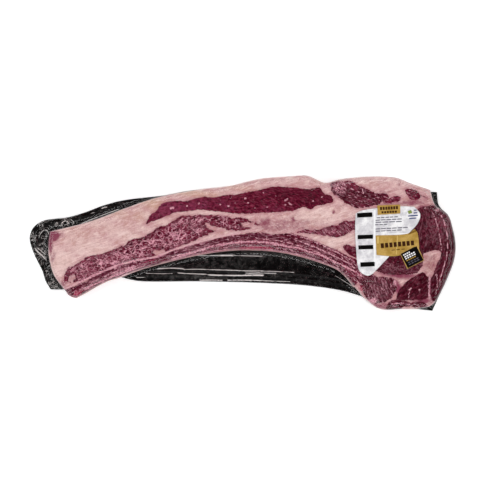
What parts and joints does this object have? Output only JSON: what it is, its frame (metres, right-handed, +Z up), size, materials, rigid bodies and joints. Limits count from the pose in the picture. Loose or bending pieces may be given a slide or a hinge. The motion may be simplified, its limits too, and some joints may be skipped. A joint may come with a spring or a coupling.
{
  "type": "vacuum-packed raw long-bone rib steak",
  "caption": "Raw marbled beef rib steak on its long curved rib bone, sealed under clear film on a flat black plastic tray with plain stickers.",
  "frame": {"origin": "centre of the pack's outline at the tray's underside", "axes": "+X from the narrow rib tip towards the wide eye of the steak, +Y towards the fat cap's long curved edge, +Z up, out of the labelled side"},
  "size_m": [0.5192, 0.165, 0.044],
  "materials": {
    "meat": "moist raw beef with pink fat, glossy under clear film",
    "bone": "fresh rib bone with membrane",
    "tray": "glossy black thermoformed sheet",
    "silver_sticker": "silver foil paper with a satin sheen",
    "gold_sticker": "gold foil paper with a satin sheen",
    "black_sticker": "black printed paper with a gold border"
  },
  "bodies": {
    "root": {"tray": "tray", "steak": "meat", "rib_bone": "bone", "label_silver": "silver_sticker", "label_gold": "gold_sticker", "label_crest": "gold_sticker", "label_badge": "black_sticker"}
  },
  "joints": []
}
